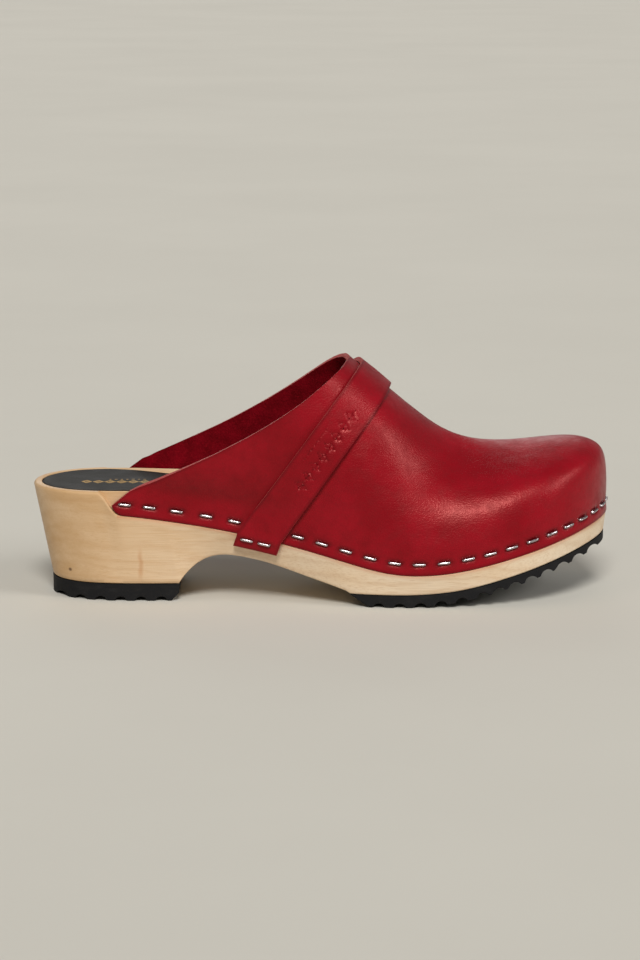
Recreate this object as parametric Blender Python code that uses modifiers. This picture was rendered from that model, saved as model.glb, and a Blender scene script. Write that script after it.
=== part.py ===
"""A closed-toe, open-heel wooden clog for the right foot, about EU size 38.

A leather upper is stapled round a rebate in a carved wooden sole. A strap of the same leather crosses
the instep, and the sole stands on two ribbed rubber treads, with a thin pad on the heel seat.

The shoe's own frame has X running from the back of the heel to the toe, Y across it with the outer
side at -Y, and Z up from the ground. An empty then puts the middle of the shoe at the origin.
Lengths are written in millimetres, and MM turns them into metres.
"""

import bmesh
import bpy
import numpy as np
from mathutils import Matrix, Vector

MM = 0.001
OUTER, INNER = -1, 1

# Driving dimensions.
SOLE_LENGTH = 261.0
OVERALL_LENGTH = 262.0
LEATHER = 2.3
GAP = 0.3
REBATE_DEPTH = LEATHER + 0.5
REBATE_HEIGHT = 10.0
RIM_CHAMFER = 1.2
EDGE_ROUND = 0.9
RIM = 50.6
HEEL_RUBBER = 8.0
BALL_RUBBER = 5.8
GROOVE_RADIUS = 3.1
GROOVE_DEPTH = 1.9
SEAT_STEP = 1.9
SEAT_DISH = 1.0
PAD_THICKNESS = 1.5
STIFFENER = 1.2
STRAP_TAIL = 4.6
STRAP_LEAN = 1.6
STAPLE_WIRE = 1.2
STAPLE_CROWN = 5.0
STAPLE_LEG = 8.2
STAPLE_HEIGHT = 5.2
TOE_PITCH, SIDE_PITCH = 9.8, 10.95
WALL_PARTS, TOP_PARTS = 8, 4

# Stations along the shoe. The notch's slope and the leather's back corner are (station, height).
NOTCH, NOTCH_FRONT = 30.5, 41.0
NOTCH_SLOPE = [(33.0, 48.2), (36.0, 43.4), (38.5, 40.8)]
RIM_FRONT = 66.0
LEATHER_BACK = 37.2
BACK_CORNER = [(LEATHER_BACK, 44.4), (38.3, 42.0)]
THROAT = 86.0
STRAP_BACK, STRAP_FRONT = 93.2, 112.8
STRAP_MIDDLE = (99.5, 106.5)
HEEL_FRONT = 66.6
BALL_BACK = 143.6
STIFFENER_BACK = 215.0
QUARTER_STATIONS = (LEATHER_BACK, 37.6, 38.6, 41, 45, 51, 58, 65, 72, 76, 79, 81.5, 83.5, 84.8, 85.5)
VAMP_STATIONS = (THROAT, STRAP_BACK, *STRAP_MIDDLE, STRAP_FRONT, 120, 128, 137, 146, 155, 164, 173, 182,
                 191, 200, 208, 216, 223, 230, 236, 241.5, 246, 250, 253.4, 256.4, 259.2, SOLE_LENGTH)  # fmt: skip


def spline(points, bend_ends=True):
    """The cubic spline through the points (x, y), as a function of x."""
    xs, ys = np.array(points, float).T
    steps = np.diff(xs)
    system = np.eye(len(xs))
    right = np.zeros(len(xs))
    for i in range(1, len(xs) - 1):
        system[i, i - 1 : i + 2] = steps[i - 1], 2 * (steps[i - 1] + steps[i]), steps[i]
        right[i] = 6 * ((ys[i + 1] - ys[i]) / steps[i] - (ys[i] - ys[i - 1]) / steps[i - 1])
    if bend_ends:
        system[0, 1] = -1
        system[-1, -2] = -1
    bends = np.linalg.solve(system, right)

    def at(x):
        x = np.clip(np.asarray(x, float), xs[0], xs[-1])
        i = np.clip(np.searchsorted(xs, x) - 1, 0, len(steps) - 1)
        b = (x - xs[i]) / steps[i]
        a = 1 - b
        curve = (a**3 - a) * bends[i] + (b**3 - b) * bends[i + 1]
        return a * ys[i] + b * ys[i + 1] + curve * steps[i] ** 2 / 6

    return at


class Outline:
    """A closed plan outline with round ends.

    Each side's y is a spline of the station angle, which is 0 at the back and pi at the tip.
    """

    def __init__(self, back, tip, outer, inner):
        self.back = back
        self.length = tip - back
        self.sides = {}
        for side, points in ((OUTER, outer), (INNER, inner)):
            angles = [(self.angle(x), y) for x, y in points]
            self.sides[side] = spline(angles, bend_ends=False)

    def angle(self, x):
        return np.arccos(np.clip(1 - 2 * (x - self.back) / self.length, -1, 1))

    def y(self, x, side):
        return self.sides[side](self.angle(x))

    def tangent(self, angle, side):
        step = 1e-3
        low, high = max(angle - step, 0), min(angle + step, np.pi)
        slope_x = self.length / 2 * (np.cos(low) - np.cos(high))
        slope_y = self.sides[side](high) - self.sides[side](low)
        if angle in (0, np.pi):
            slope_x = 0.0
        return np.array([slope_x, slope_y]) / np.hypot(slope_x, slope_y)

    def at(self, angle, side, inset=0.0):
        """The point (x, y) on one side, moved inwards by inset."""
        x = self.back + self.length * (1 - np.cos(angle)) / 2
        along = self.tangent(angle, side)
        inward = side * np.array([along[1], -along[0]])
        return np.array([x, float(self.sides[side](angle))]) + inset * inward


# Plan outlines: the wood at the ledge that the leather stands on, at its bottom edge, and the pad.
LEDGE = Outline(
    0,
    SOLE_LENGTH,
    [(0, 0), (10, -22.5), (38, -31.5), (75, -30.5), (115, -35.5), (150, -42.5), (178, -44.5),
     (207, -42.5), (232, -34.8), (252.5, -16), (SOLE_LENGTH, 9)],
    [(0, 0), (10, 22.5), (38, 31.5), (75, 27.5), (115, 30.5), (155, 41), (190, 46), (225, 44),
     (250.5, 32), (SOLE_LENGTH, 9)],
)  # fmt: skip
BOTTOM = Outline(
    8,
    260,
    [(8, 0), (16.5, -19), (38, -27), (66, -27), (95, -28), (125, -33.5), (150, -40), (178, -42),
     (207, -40.5), (231, -33), (251.5, -14.5), (260, 9)],
    [(8, 0), (16.5, 19), (38, 27), (66, 24.5), (90, 23.5), (115, 27), (155, 38.5), (190, 43.5),
     (224, 41.5), (249.5, 30.5), (260, 9)],
)  # fmt: skip
PAD = Outline(
    4.6,
    88,
    [(4.6, 0), (12, -18.0), (28, -25.7), (45, -24.0), (61, -17.5), (78, -10.5), (88, 0)],
    [(4.6, 0), (12, 18.0), (28, 25.7), (45, 24.0), (61, 17.5), (78, 10.5), (88, 0)],
)

# Side profiles, as heights over the station.
ARCH = spline([(HEEL_FRONT, 8.0), (68.8, 11.2), (71.6, 14.4), (76.4, 18.3), (81, 20.4), (87, 21.3), (94.7, 20.6),
               (106.2, 18.2), (122, 13.3), (138.9, 8.0), (BALL_BACK, 6.4)])  # fmt: skip
ROCKER = spline([(BALL_BACK, 5.9), (156, BALL_RUBBER), (168, BALL_RUBBER), (180, 6.4), (192.6, 8.0), (210.5, 12.3),
                 (229, 17.6), (246, 22.7), (260, 26.6)])  # fmt: skip
LEDGE_HEIGHT = spline([(38, 40.2), (47.8, 39.2), (63.7, 36.9), (81.8, 34.0), (97, 31.2), (114.5, 27.5),
                       (130, 23.7), (146, 19.4), (161, 16.0), (175, 15.2), (189, 16.4), (210, 20.8),
                       (229, 26.0), (240, 29.2), (249, 31.9), (SOLE_LENGTH, 35.6)])  # fmt: skip
RIM_FALL = spline([(RIM_FRONT, RIM), (85, 48.6), (105, 43.2), (125, 36.2), (145, 30.2), (161, 26.6), (175, 25.8),
                   (189, 26.8), (210, 31.2), (229, 36.3), (249, 41.6), (SOLE_LENGTH, 44.5)])  # fmt: skip
TOPLINE = spline([(LEATHER_BACK, 44.4), (42.4, 49.2), (53, 54.3), (67.6, 61.0), (82.2, 68.1),
                  (96.8, 75.8), (111.3, 84.4), (126, 94.7), (134, 101.0), (139.5, 105.0), (143.5, 107.2)])  # fmt: skip
CREST = spline([(112, 146.0), (130, 121.5), (143.5, 107.2), (152, 100.0), (162, 91.6), (171.8, 83.5),
                (181, 76.6), (191, 71.5), (202, 68.8), (212, 68.2), (224, 68.7), (236, 69.4),
                (246, 69.6)])  # fmt: skip
CREST_SIDE = spline([(112, 0), (160, 0.5), (200, 3.0), (246, 7.0)])

# How a rib of the upper runs from the ledge to the crest, by the station it starts from: where it
# meets the crest, how square its section is, how high the ridge between its wall and roof lies and how
# far its section has one, and how far it turns from leaning to standing upright.
RIB_TOP = spline([(LEATHER_BACK, 113), (60, 126.5), (THROAT, 143.5), (93, 147.8), (113, 160.7),
                  (130, 172.5), (155, 186), (180, 197), (205, 209), (225, 220), (240, 229),
                  (252, 236), (SOLE_LENGTH, 240)])  # fmt: skip
RIB_SQUARENESS = spline([(LEATHER_BACK, 3.2), (THROAT, 3.3), (120, 2.7), (160, 2.35), (195, 2.5),
                         (218, 3.0), (240, 3.5), (SOLE_LENGTH, 3.2)])  # fmt: skip
RIDGE_HEIGHT = spline([(LEATHER_BACK, 0.36), (130, 0.36), (162, 0.41), (198, 0.45), (216, 0.50), (235, 0.58),
                       (251, 0.72), (SOLE_LENGTH, 0.80)])  # fmt: skip
RIDGE_SHARE = spline([(LEATHER_BACK, 0), (112, 0), (125, 0), (145, 0.35), (168, 0.8), (195, 0.9), (235, 0.9),
                      (250, 0.6), (SOLE_LENGTH, 0.2)])  # fmt: skip
RIDGE_TIGHTNESS = 6
ROOF_CURVE = 0.72
TOE_TURN = spline([(LEATHER_BACK, 0), (150, 0), (195, 0), (215, 0.25), (240, 0.8), (SOLE_LENGTH, 1)])
HEEL_FLARE = spline([(LEATHER_BACK, 4), (60, 7), (90, 4), (115, 0.8), (130, 0), (SOLE_LENGTH, 0)])
FLARE_RISE = 9.0

# The part of a rib's length that is its wall, at the throat, where the topline joins there, and at the toe.
WALL_SHARE = {OUTER: (0.808, 0.83), INNER: (0.847, 0.83)}

# The inner side of the topline stands a little higher than the outer side.
INNER_RISE = spline([(LEATHER_BACK, 0), (45, 1.9), (55, 2.6), (75, 2.2), (97, 1.8), (126, 1.3), (143.5, 0)])

REAR_STAPLES = (42.9, 53.9, 66.0, 79.2, 91.8)
HIDDEN_STAPLE = 104.6
STRAP_STAPLES = (97.6, 105.4)
FRONT_STAPLES_END = 120.0


def bottom_height(x):
    """The wood's underside: a flat heel, the breast and arch, and the rocker of the forepart."""
    if x <= HEEL_FRONT:
        return HEEL_RUBBER
    return float(ARCH(x) if x < BALL_BACK else ROCKER(x))


def rim_height(x):
    """The top of the wood's side: level round the heel, then a rebate's height above the ledge."""
    return RIM if x < RIM_FRONT else float(RIM_FALL(x))


def side_top(x):
    """The top edge of the wood's outer face: the rim behind the notch, the ledge in front of it."""
    if x >= NOTCH_FRONT:
        return float(LEDGE_HEIGHT(x))
    slope = [(NOTCH, rim_height(NOTCH)), *NOTCH_SLOPE, (NOTCH_FRONT, float(LEDGE_HEIGHT(NOTCH_FRONT)))]
    return float(np.interp(x, *zip(*slope)))


def footbed_height(x, across):
    """The dished top of the sole; across runs from -1 to 1 between its edges."""
    ends = min(max((x - 4) / 30, 0), max((SOLE_LENGTH - 4 - x) / 30, 0), 1)
    depth = SEAT_DISH * (1 - (1 - ends) ** 2)
    return rim_height(x) - SEAT_STEP - depth * (1 - across**4)


def side_angles(marks, count):
    """Station angles of the wooden sole: the marked ones, and an even spread clear of those."""
    clear = 0.4 * np.pi / count
    spread = [a for a in np.linspace(0, np.pi, count + 1) if min(abs(a - m) for m in marks) > clear]
    return sorted([*spread, *marks])


def section_reach(foot_x, h):
    """How far out a rib's section reaches at heights h from 0 to 1: an arch, or a wall under a roof."""
    square = float(RIB_SQUARENESS(foot_x))
    arch = (1 - h**square) ** (1 / square)
    roof = ((1 - h) / (1 - float(RIDGE_HEIGHT(foot_x)))) ** ROOF_CURVE
    ridged = roof / (1 + roof**RIDGE_TIGHTNESS) ** (1 / RIDGE_TIGHTNESS)
    return arch + (ridged / ridged[0] - arch) * float(RIDGE_SHARE(foot_x))


def rib(angle, side, g):
    """Points (x, y, z) of the upper's outer face on one rib, from the ledge, g = 0, to the crest, 1."""
    foot_x, _ = LEDGE.at(angle, side)
    foot_z = float(LEDGE_HEIGHT(foot_x)) + GAP
    if foot_x < NOTCH_FRONT:
        foot_z = float(np.interp(foot_x, *zip(*BACK_CORNER, (NOTCH_FRONT, foot_z))))
    top_x = float(RIB_TOP(foot_x))
    top_y = float(CREST_SIDE(top_x))
    rise = float(CREST(top_x)) - foot_z
    plumb = (REBATE_HEIGHT + 1) / rise
    h = np.clip((g - plumb) / (1 - plumb), 0, 1)
    reach = section_reach(foot_x, h)
    turn = float(TOE_TURN(foot_x))
    x = foot_x + (top_x - foot_x) * ((1 - turn) * g + turn * (1 - reach))
    wall_y = LEDGE.y(foot_x + (1 - turn) * (x - foot_x), side)
    above = np.clip(rise * g - REBATE_HEIGHT, 0, None)
    flare = float(HEEL_FLARE(foot_x)) * above**2 / (above**2 + FLARE_RISE**2)
    y = top_y + (wall_y - top_y) * reach + side * flare * reach
    return np.stack([x, y, foot_z + rise * g], axis=-1)


def rib_line(x, side):
    """The visible stretch of the rib from station x of the ledge.

    Behind the throat it ends at the topline, and in front it goes on over the foot to the crest.
    """
    points = rib(LEDGE.angle(x), side, np.linspace(0, 1, 401))
    if x < THROAT:
        higher = INNER_RISE(points[:, 0]) if side == INNER else 0
        over = np.nonzero(points[:, 2] > TOPLINE(points[:, 0]) + higher)[0]
        points = points[: max(over[0], 1)]
    lengths = np.concatenate([[0], np.cumsum(np.linalg.norm(np.diff(points, axis=0), axis=1))])
    if x < THROAT:
        wanted = np.linspace(0, lengths[-1], WALL_PARTS + 1)
    else:
        shoulder = lengths[-1] * np.interp(x, (THROAT, SOLE_LENGTH), WALL_SHARE[side])
        wall, top = np.linspace(0, shoulder, WALL_PARTS + 1), np.linspace(shoulder, lengths[-1], TOP_PARTS + 1)
        wanted = [*wall, *top[1:]]
    return np.stack([np.interp(wanted, lengths, points[:, k]) for k in range(3)], axis=-1)


def add_grid(shape, rows):
    """Adds a sheet of quads through the rows of points, given in millimetres."""
    rows = [[shape.verts.new(Vector(point) * MM) for point in row] for row in rows]
    for lower, upper in zip(rows, rows[1:]):
        for i in range(len(lower) - 1):
            shape.faces.new((lower[i], lower[i + 1], upper[i + 1], upper[i]))


def make_object(name, shape, collection, material=None):
    """Makes an object of the shape, once the points that meet are joined and its faces look outwards."""
    bmesh.ops.remove_doubles(shape, verts=shape.verts, dist=0.01 * MM)
    bmesh.ops.dissolve_degenerate(shape, edges=shape.edges, dist=0.005 * MM)
    bmesh.ops.recalc_face_normals(shape, faces=shape.faces)
    highest = max(shape.faces, key=lambda face: face.calc_center_median().z)
    if highest.normal.z < 0:
        bmesh.ops.reverse_faces(shape, faces=shape.faces)
    mesh = bpy.data.meshes.new(name)
    shape.to_mesh(mesh)
    shape.free()
    mesh.shade_smooth()
    obj = bpy.data.objects.new(name, mesh)
    collection.objects.link(obj)
    obj.parent = SHOE
    if material:
        mesh.materials.append(material)
    else:
        obj.hide_render = True
        obj.display_type = "WIRE"
    return obj


def cut(obj, cutter):
    modifier = obj.modifiers.new("cut_" + cutter.name, "BOOLEAN")
    modifier.operation = "DIFFERENCE"
    modifier.solver = "EXACT"
    modifier.object = cutter


def thicken(obj, thickness, outward, clearance=0.0):
    """Makes a sheet solid, after moving it off its neighbour by the clearance."""
    if clearance:
        shift = obj.modifiers.new("clearance", "DISPLACE")
        shift.strength = clearance * MM
        shift.mid_level = 0
    shell = obj.modifiers.new("thickness", "SOLIDIFY")
    shell.thickness = thickness * MM
    shell.offset = 1 if outward else -1


def material(name, color, roughness, metallic=0.0):
    finish = bpy.data.materials.new(name)
    finish.use_nodes = True
    shader = finish.node_tree.nodes["Principled BSDF"]
    shader.inputs["Base Color"].default_value = (*color, 1)
    shader.inputs["Roughness"].default_value = roughness
    shader.inputs["Metallic"].default_value = metallic
    return finish


def wooden_sole():
    """One block of wood: its sides, the rebate for the leather, the dished footbed and the underside."""
    marks = [LEDGE.angle(x) for x in (NOTCH, *(x for x, _ in NOTCH_SLOPE), NOTCH_FRONT)]
    marks += [BOTTOM.angle(x) for x in (HEEL_FRONT, 68.5, 71, 75, 79.5, 85, BALL_BACK)]
    angles = side_angles(marks, 42)

    def ring(outline, inset, height):
        row = []
        for side, order in ((OUTER, angles), (INNER, angles[::-1])):
            for angle in order:
                x, y = outline.at(angle, side, inset)
                row.append((x, y, height(outline.at(angle, side)[0])))
        return row

    def rounded_top(x):
        return side_top(x) - (EDGE_ROUND if x < NOTCH + 1 else 0)

    shape = bmesh.new()
    rim_edge = REBATE_DEPTH + RIM_CHAMFER
    rings = [
        ring(BOTTOM, 0, bottom_height),
        ring(LEDGE, 0, rounded_top),
        ring(LEDGE, EDGE_ROUND, side_top),
        ring(LEDGE, REBATE_DEPTH, side_top),
        ring(LEDGE, REBATE_DEPTH, rim_height),
        ring(LEDGE, REBATE_DEPTH + 0.3, rim_height),
        ring(LEDGE, rim_edge, lambda x: footbed_height(x, 1)),
    ]
    add_grid(shape, rings)
    footbed, underside = [], []
    for angle in angles:
        near, far = (LEDGE.at(angle, side, rim_edge) for side in (OUTER, INNER))
        station = LEDGE.at(angle, OUTER)[0]
        fractions = np.linspace(0, 1, 9)
        footbed.append([(*(near + (far - near) * t), footbed_height(station, 2 * t - 1)) for t in fractions])
        edges = [BOTTOM.at(angle, side) for side in (OUTER, INNER)]
        underside.append([(*edge, bottom_height(edge[0])) for edge in edges])
    add_grid(shape, footbed)
    add_grid(shape, underside)
    return make_object("wooden_sole", shape, PARTS, WOOD)


def tread(name, stations, low, high):
    """A rubber tread with the outline of the sole, between two heights over the station."""
    shape = bmesh.new()
    sections = []
    for x in stations:
        outer, inner = BOTTOM.y(x, OUTER), BOTTOM.y(x, INNER)
        corners = [(x, outer, low(x)), (x, inner, low(x)), (x, inner, high(x)), (x, outer, high(x))]
        sections.append(corners + corners[:1])
    add_grid(shape, sections)
    bmesh.ops.remove_doubles(shape, verts=shape.verts, dist=0.01 * MM)
    bmesh.ops.holes_fill(shape, edges=shape.edges, sides=4)
    return make_object(name, shape, PARTS, RUBBER)


def groove_cutter(name, stations, low):
    """Round grooves across the shoe, cut upwards from the tread's underside."""
    shape = bmesh.new()
    for x in stations:
        middle = Vector((x, 0, low(x) + GROOVE_DEPTH - GROOVE_RADIUS)) * MM
        turned = Matrix.Rotation(np.pi / 2, 4, "X")
        bmesh.ops.create_cone(
            shape, cap_ends=True, segments=16, radius1=GROOVE_RADIUS * MM, radius2=GROOVE_RADIUS * MM,
            depth=120 * MM, matrix=Matrix.Translation(middle) @ turned,
        )  # fmt: skip
    return make_object(name, shape, CUTTERS)


def heel_rubber():
    chamfer = 3.6

    def low(x):
        return max(0.0, x - (HEEL_FRONT - chamfer))

    round_end = [8, 8.3, 9.2, 10.8, 13, 16, 20, 25, 31, 38, 46, 55]
    obj = tread("heel_rubber", [*round_end, HEEL_FRONT - chamfer, HEEL_FRONT], low, lambda x: HEEL_RUBBER - GAP)
    cut(obj, groove_cutter("heel_groove_cutter", 13.2 + 9.1 * np.arange(6), low))


def forefoot_rubber():
    skive = 8.2

    def low(x):
        thickness = np.interp(x, (BALL_BACK, BALL_BACK + skive, 170, 260), (GAP, BALL_RUBBER, BALL_RUBBER, 4.2))
        return max(bottom_height(x) - float(thickness), 0.0)

    stations = [BALL_BACK, BALL_BACK + skive, 158, 164, 169, *np.arange(175, 240, 6)]
    stations += [240, 245, 250, 253.5, 256, 258, 259.3, 260]
    obj = tread("forefoot_rubber", stations, low, lambda x: bottom_height(x) - GAP)
    ball, toe = 156.2 + 9.3 * np.arange(6), 210.0 + 7.3 * np.arange(7)
    cut(obj, groove_cutter("forefoot_groove_cutter", [*ball, *toe], low))


def vamp_rows(first, skipped=0):
    """The ribs from a station to the toe and back on the other side, without their lowest skipped parts."""
    stations = [x for x in VAMP_STATIONS if x >= first]
    rows = []
    for side, order in ((OUTER, stations), (INNER, stations[::-1])):
        rows += [rib_line(x, side)[skipped:] for x in order]
    return rows


def leather_upper():
    """One sheet of leather from the outer side over the foot to the inner side, closed at the toe."""
    shape = bmesh.new()
    add_grid(shape, vamp_rows(THROAT))
    for side in (OUTER, INNER):
        quarter = [rib_line(x, side) for x in QUARTER_STATIONS]
        add_grid(shape, [*quarter, rib_line(THROAT, side)[: WALL_PARTS + 1]])
    obj = make_object("leather_upper", shape, PARTS, LEATHER_RED)
    thicken(obj, LEATHER, outward=False)
    return obj


def strap_row(x):
    """One line across the strap, from its end on the outer side of the wood to its inner end."""
    halves = []
    for side in (OUTER, INNER):
        line = rib_line(x, side)
        ledge, bottom = LEDGE.at(LEDGE.angle(x), side), BOTTOM.at(BOTTOM.angle(x), side)
        drop = STRAP_TAIL / (LEDGE_HEIGHT(x) - bottom_height(x))
        end = (x - STRAP_LEAN, *(ledge + (bottom - ledge) * drop)[1:], LEDGE_HEIGHT(x) - STRAP_TAIL)
        halves.append([end, *line])
    return halves[0] + halves[1][::-1][1:]


def instep_strap():
    shape = bmesh.new()
    add_grid(shape, [strap_row(x) for x in (STRAP_BACK, *STRAP_MIDDLE, STRAP_FRONT)])
    obj = make_object("instep_strap", shape, PARTS, LEATHER_RED)
    thicken(obj, LEATHER, outward=True, clearance=GAP)
    return obj


def toe_stiffener():
    """The stiff cap that holds the toe's shape, inside the leather and above the wood's rim."""
    shape = bmesh.new()
    add_grid(shape, vamp_rows(STIFFENER_BACK, skipped=3))
    obj = make_object("toe_stiffener", shape, PARTS, STIFF_CARD)
    thicken(obj, STIFFENER, outward=False, clearance=-(LEATHER + GAP))


def heel_pad():
    """A thin oval pad that follows the dish of the heel seat."""
    shape = bmesh.new()
    rows = []
    for angle in np.linspace(0, np.pi, 19):
        near, far = PAD.at(angle, OUTER), PAD.at(angle, INNER)
        row = []
        for t in np.linspace(0, 1, 9):
            x, y = near + (far - near) * t
            half = (LEDGE.y(x, INNER) - LEDGE.y(x, OUTER)) / 2 - REBATE_DEPTH - RIM_CHAMFER
            middle = (LEDGE.y(x, INNER) + LEDGE.y(x, OUTER)) / 2
            row.append((x, y, footbed_height(x, np.clip((y - middle) / half, -1, 1)) + 1.5 * GAP))
        rows.append(row)
    add_grid(shape, rows)
    obj = make_object("heel_pad", shape, PARTS, PAD_LEATHER)
    thicken(obj, PAD_THICKNESS, outward=True)


def staple_frame(outline_angle, side, height, proud):
    """Where a staple sits: its crown's middle, the way its crown runs, and the way out of the shoe."""
    x, y = LEDGE.at(outline_angle, side)
    along = LEDGE.tangent(outline_angle, side)
    outward = -side * np.array([along[1], -along[0]])
    slope = float(LEDGE_HEIGHT(x + 0.5) - LEDGE_HEIGHT(x - 0.5)) * along[0]
    crown = Vector((along[0], along[1], slope)).normalized()
    out = Vector((outward[0], outward[1], 0))
    middle = Vector((x, y, float(LEDGE_HEIGHT(x)) + height)) + out * proud
    return middle, crown, out


def staple(name, frame):
    """A wire staple: a straight crown and two legs driven into the wood."""
    middle, crown, out = frame
    half = STAPLE_CROWN / 2
    corner = 0.5
    path = [
        middle - crown * half - out * STAPLE_LEG,
        middle - crown * half - out * corner,
        middle - crown * (half - corner),
        middle + crown * (half - corner),
        middle + crown * half - out * corner,
        middle + crown * half - out * STAPLE_LEG,
    ]
    wire = bpy.data.curves.new(name, "CURVE")
    wire.dimensions = "3D"
    wire.bevel_depth = STAPLE_WIRE / 2 * MM
    wire.bevel_resolution = 1
    wire.use_fill_caps = True
    line = wire.splines.new("POLY")
    line.points.add(len(path) - 1)
    for point, place in zip(line.points, path):
        point.co = (*(place * MM), 1)
    wire.materials.append(STEEL)
    obj = bpy.data.objects.new(name, wire)
    PARTS.objects.link(obj)
    obj.parent = SHOE


def box_cutter(name, boxes):
    """Boxes, each given by its middle, its first two directions and its size along all three."""
    shape = bmesh.new()
    for middle, crown, out, size in boxes:
        turn = Matrix((crown, out, crown.cross(out))).transposed().to_4x4()
        grown = Matrix.Diagonal(Vector(size) * MM).to_4x4()
        bmesh.ops.create_cube(shape, size=1, matrix=Matrix.Translation(middle * MM) @ turn @ grown)
    return make_object(name, shape, CUTTERS)


def leg_holes(name, frames):
    """Square holes for the legs of the staples."""
    width = STAPLE_WIRE + 2 * GAP
    reach = STAPLE_LEG + 1.5
    boxes = []
    for middle, crown, out in frames:
        for end in (-1, 1):
            place = middle + crown * end * STAPLE_CROWN / 2 - out * (reach / 2 - 1)
            boxes.append((place, crown, out, (width, reach, width)))
    return box_cutter(name, boxes)


def vamp_staple_angles(side):
    """Station angles of the staples that hold the vamp, from the tip of the toe backwards."""
    angles = np.linspace(np.pi, LEDGE.angle(FRONT_STAPLES_END), 2000)
    points = np.array([LEDGE.at(angle, side) for angle in angles])
    lengths = np.concatenate([[0], np.cumsum(np.linalg.norm(np.diff(points, axis=0), axis=1))])
    toe = (TOE_PITCH / 2 + side * 0.7) + TOE_PITCH * np.arange(10)
    count = round((lengths[-1] - toe[-1]) / SIDE_PITCH)
    flanks = np.linspace(toe[-1], lengths[-1], count + 1)[1:]
    front = [np.interp(run, lengths, angles) for run in (*toe, *flanks)]
    return front, [LEDGE.angle(x) for x in REAR_STAPLES[::-1]]


def staples(sole, upper, strap):
    proud = STAPLE_WIRE / 2 + 0.25
    through_leather, through_strap, sunk = [], [], []
    for side, label in ((OUTER, "outer"), (INNER, "inner")):
        front, rear = vamp_staple_angles(side)
        frames = [staple_frame(angle, side, STAPLE_HEIGHT, proud) for angle in (*front, *rear)]
        hidden = staple_frame(LEDGE.angle(HIDDEN_STAPLE), side, STAPLE_HEIGHT + 0.6, -STAPLE_WIRE / 2 - 0.1)
        sunk.append(hidden)
        for number, frame in enumerate([*frames, hidden], 1):
            staple(f"vamp_staple_{label}_{number:02d}", frame)
        through_leather += [*frames, hidden]
        tails = [staple_frame(LEDGE.angle(x), side, -1.6, proud + LEATHER + GAP - 0.4) for x in STRAP_STAPLES]
        for number, frame in enumerate(tails, 1):
            staple(f"strap_staple_{label}_{number}", frame)
        through_strap += tails
    leather_holes = leg_holes("vamp_hole_cutter", through_leather)
    strap_holes = leg_holes("strap_hole_cutter", through_strap)
    slot = (STAPLE_CROWN + STAPLE_WIRE + 3 * GAP, 4.4, STAPLE_WIRE + 3 * GAP)
    crown_slots = box_cutter("crown_slot_cutter", [(m + out, crown, out, slot) for m, crown, out in sunk])
    cut(upper, leather_holes)
    cut(upper, crown_slots)
    cut(sole, leather_holes)
    cut(sole, strap_holes)
    cut(strap, strap_holes)


def new_collection(name):
    collection = bpy.data.collections.new(name)
    bpy.context.scene.collection.children.link(collection)
    return collection


for old in list(bpy.data.objects):
    bpy.data.objects.remove(old)

PARTS = new_collection("wooden_clog")
CUTTERS = new_collection("cutters")
SHOE = bpy.data.objects.new("shoe", None)
PARTS.objects.link(SHOE)
SHOE.location = (-OVERALL_LENGTH / 2 * MM, -0.75 * MM, 0)

WOOD = material("wood", (0.72, 0.50, 0.27), 0.55)
LEATHER_RED = material("red_leather", (0.28, 0.012, 0.02), 0.38)
RUBBER = material("black_rubber", (0.02, 0.02, 0.022), 0.75)
PAD_LEATHER = material("black_leather", (0.015, 0.014, 0.014), 0.45)
STIFF_CARD = material("stiffener_board", (0.35, 0.26, 0.16), 0.85)
STEEL = material("staple_wire", (0.62, 0.62, 0.64), 0.25, metallic=1.0)

heel_rubber()
forefoot_rubber()
heel_pad()
toe_stiffener()
staples(wooden_sole(), leather_upper(), instep_strap())
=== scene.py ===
"""The looks of a wooden clog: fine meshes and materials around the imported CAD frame.

Lengths are written in millimetres in the shoe's own frame, where X runs from the back of the heel to
the toe, Y across the shoe with its outer side at -Y, and Z up from the ground. SHOE_ORIGIN moves
them into the row's frame, and MM turns them into metres.
"""

import bmesh
import bpy
import numpy as np
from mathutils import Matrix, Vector, noise


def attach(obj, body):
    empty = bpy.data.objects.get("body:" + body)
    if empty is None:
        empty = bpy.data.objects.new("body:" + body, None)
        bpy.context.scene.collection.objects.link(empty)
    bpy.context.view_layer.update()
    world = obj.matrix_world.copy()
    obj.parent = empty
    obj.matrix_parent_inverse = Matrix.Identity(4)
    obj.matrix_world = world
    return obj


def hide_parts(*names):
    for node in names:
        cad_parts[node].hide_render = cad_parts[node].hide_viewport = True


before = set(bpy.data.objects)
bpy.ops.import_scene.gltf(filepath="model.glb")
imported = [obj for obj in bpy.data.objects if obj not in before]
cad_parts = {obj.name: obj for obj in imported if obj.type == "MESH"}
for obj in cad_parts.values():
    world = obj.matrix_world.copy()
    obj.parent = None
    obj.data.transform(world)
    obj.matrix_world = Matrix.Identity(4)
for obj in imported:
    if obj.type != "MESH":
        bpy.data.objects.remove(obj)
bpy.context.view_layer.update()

MM = 0.001
SHOE_ORIGIN = np.array([-131.0, -0.75, 0.0])
OUTER, INNER = -1, 1

SOLE_LENGTH = 261.0
LEATHER = 2.3
GAP = 0.3
REBATE_DEPTH = LEATHER + 0.5
REBATE_HEIGHT = 10.0
RIM_CHAMFER = 1.2
RIM = 50.6
HEEL_RUBBER = 8.0
BALL_RUBBER = 5.8
TOE_RUBBER = 4.2
HEEL_CHAMFER = 3.6
BALL_SKIVE = 8.2
GROOVE_RADIUS = 3.1
GROOVE_DEPTH = 1.9
SEAT_STEP = 1.9
SEAT_DISH = 1.0
PAD_THICKNESS = 1.5
STRAP_TAIL = 4.6
STRAP_LEAN = 1.6
STAPLE_WIRE = 1.2
STAPLE_CROWN = 5.0
STAPLE_LEG = 8.2
STAPLE_HEIGHT = 5.2
TOE_PITCH, SIDE_PITCH = 9.8, 10.95

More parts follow.
